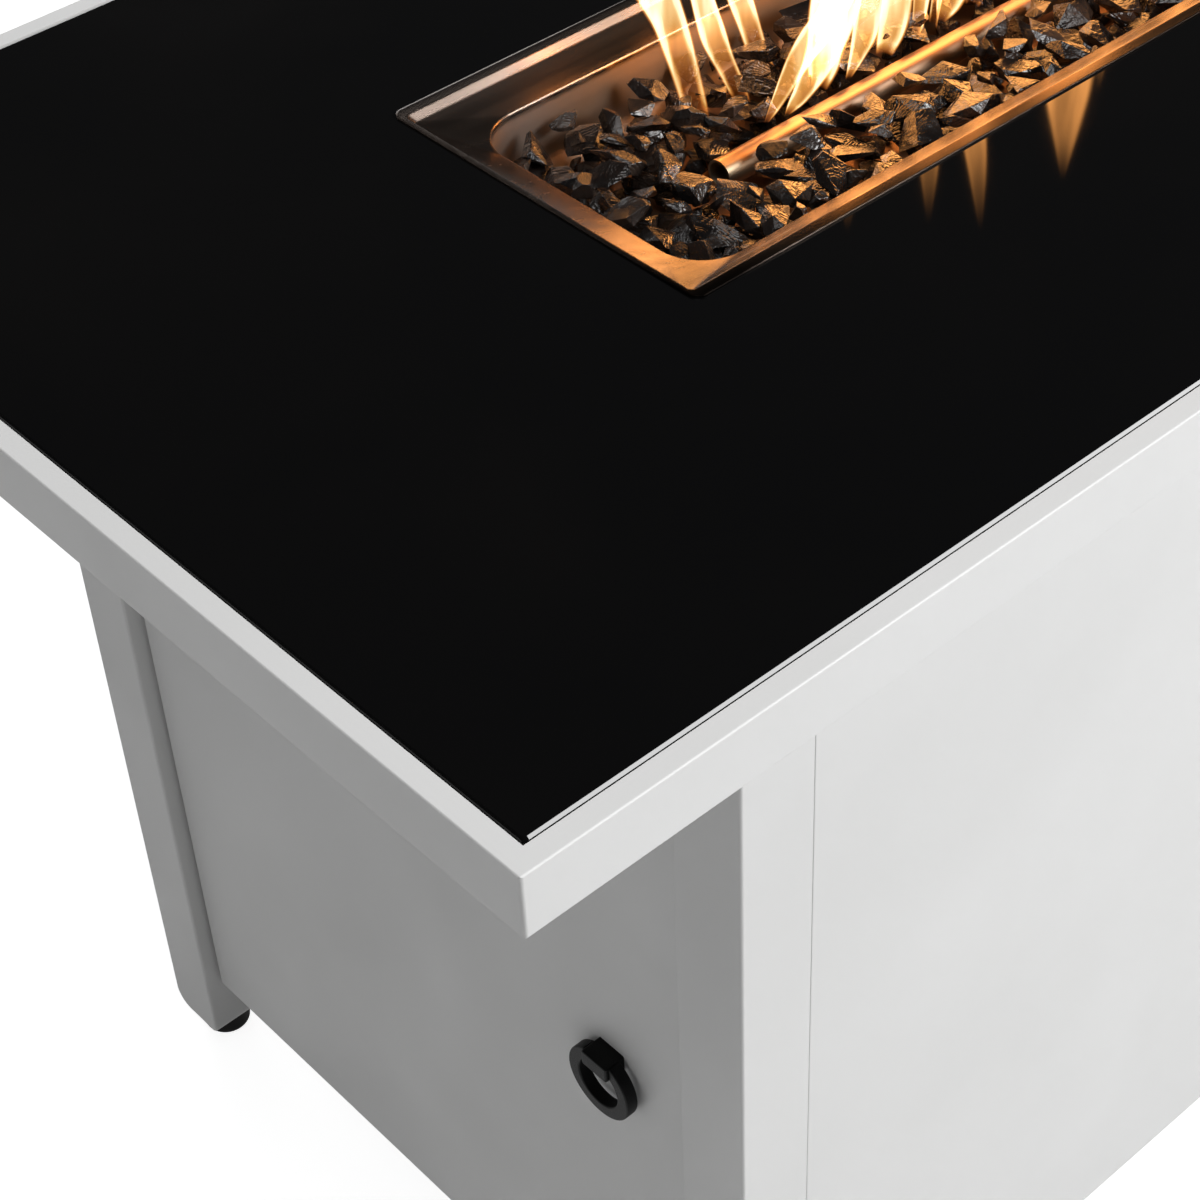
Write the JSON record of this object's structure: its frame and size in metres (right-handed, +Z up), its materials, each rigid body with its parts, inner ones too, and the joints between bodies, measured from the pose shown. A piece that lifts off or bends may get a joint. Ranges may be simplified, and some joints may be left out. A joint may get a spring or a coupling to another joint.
{
  "type": "gas fire pit table",
  "caption": "Rectangular gas fire table: white frame and cabinet, black glass top, sunken stainless burner pan filled with black fire glass.",
  "frame": {"origin": "on the floor under the middle of the table top", "axes": "+Z up, +X along the long side away from the cabinet door, +Y towards the side that holds the gas controls"},
  "size_m": [1.067, 0.55, 0.637],
  "materials": {
    "white_paint": "semi-gloss powder coat",
    "black_glass": "polished, toughened, opaque black",
    "fire_glass": "broken, tumbled, opaque black",
    "stainless": "pressed stainless sheet, satin",
    "zinc_steel": "zinc plated",
    "black_metal": "black powder coat",
    "black_plastic": "moulded, fine grain",
    "black_gloss": "moulded, smooth",
    "red_plastic": "moulded push button",
    "rubber": "moulded pads",
    "brass": "turned brass",
    "aluminium": "die-cast and mill finish",
    "ceramic": "glazed insulator"
  },
  "bodies": {
    "root": {"top_rail_front": "white_paint", "top_rail_rear": "white_paint", "top_rail_door_end": "white_paint", "top_rail_far_end": "white_paint", "corner_keys": "aluminium", "glass_top": "black_glass", "glass_pads": "rubber", "cross_bearers": "white_paint", "long_bearers": "white_paint", "upper_rails": "white_paint", "post_front_door_end": "white_paint", "post_front_far_end": "white_paint", "post_rear_door_end": "white_paint", "post_rear_far_end": "white_paint", "feet": "black_plastic", "panel_front": "white_paint", "panel_rear": "white_paint", "panel_far_end": "white_paint", "hinge_brackets": "zinc_steel", "magnet_catch": "black_plastic", "bottle_shelf": "white_paint", "bottle_ring": "zinc_steel", "burner_pan": "stainless", "burner_tube": "stainless", "tube_plugs": "stainless", "burner_saddles": "stainless", "burner_locknut": "brass", "inlet_elbow": "brass", "air_mixer": "zinc_steel", "orifice_fitting": "brass", "probe_holder": "stainless", "spark_electrode": "ceramic", "thermocouple": "brass", "control_plate": "stainless", "dial_ring": "black_gloss", "gas_valve": "aluminium", "hose_inlet": "brass", "igniter_body": "black_plastic", "igniter_nut": "zinc_steel", "pipe_nuts": "brass", "gas_pipe": "aluminium", "heat_shield": "zinc_steel", "shield_straps": "zinc_steel", "frame_screws": "zinc_steel", "fire_glass": "fire_glass"},
    "door": {"door": "white_paint", "hinge_clevises": "zinc_steel", "hinge_pins": "zinc_steel", "strike_plate": "zinc_steel", "ring_lug": "black_metal", "pull_screws": "zinc_steel"},
    "ring": {"ring_pull": "black_metal"},
    "valve_push": {"valve_push_rod": "brass"},
    "knob": {"valve_stem": "zinc_steel", "control_knob": "black_gloss"},
    "igniter_button": {"igniter_button": "red_plastic"},
    "clamp_screw": {"clamp_screw": "zinc_steel"}
  },
  "joints": [
    {"name": "door_swing", "type": "hinge", "parent": "root", "child": "door", "pos_m": [-0.3923, 0.194, 0.333], "axis": [0, 0, -1], "range_deg": [0, 95]},
    {"name": "ring_swing", "type": "hinge", "parent": "door", "child": "ring", "pos_m": [-0.4053, -0.1505, 0.3177], "axis": [0, 1, 0], "range_deg": [0, 170]},
    {"name": "valve_press", "type": "slide", "parent": "root", "child": "valve_push", "axis": [0, -1, 0], "range_m": [0, 0.003], "stiffness_N_per_m": 800},
    {"name": "knob_turn", "type": "hinge", "parent": "valve_push", "child": "knob", "pos_m": [0.222, 0.2415, 0.548], "axis": [0, 1, 0], "range_deg": [0, 180]},
    {"name": "igniter_press", "type": "slide", "parent": "root", "child": "igniter_button", "axis": [0, -1, 0], "range_m": [0, 0.003], "stiffness_N_per_m": 900},
    {"name": "clamp_screw_travel", "type": "slide", "parent": "root", "child": "clamp_screw", "axis": [1, 0, 0], "range_m": [-0.01, 0.005]}
  ]
}
